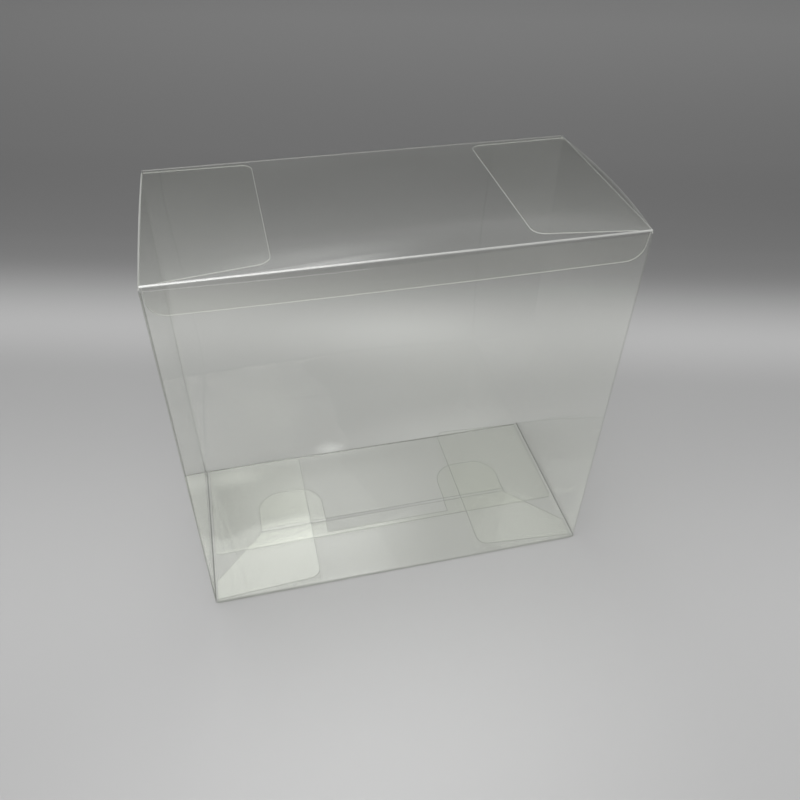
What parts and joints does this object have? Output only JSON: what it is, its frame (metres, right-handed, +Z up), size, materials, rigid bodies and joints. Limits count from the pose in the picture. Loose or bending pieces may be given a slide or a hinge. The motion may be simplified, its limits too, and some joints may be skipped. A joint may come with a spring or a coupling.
{
  "type": "clear folding box protector",
  "caption": "Upright clear film box protector with a tuck-in lid, inner dust flaps and an interlocking lock bottom; it holds a boxed product.",
  "frame": {"origin": "centre of the footprint, on the ground under the box", "axes": "+X to the right along the wide face, +Y to the back where the lid's crease is, +Z up"},
  "size_m": [0.164, 0.0784, 0.16],
  "materials": {
    "clear_film": "clear smooth polyester film, high gloss, bright at its folds and cut edges"
  },
  "bodies": {
    "box": {"box_body": "clear_film"},
    "lid": {"lid": "clear_film"}
  },
  "joints": [
    {"name": "lid_hinge", "type": "hinge", "parent": "box", "child": "lid", "pos_m": [0, 0.0392, 0.16], "axis": [-1, 0, 0], "range_deg": [0, 180]}
  ]
}
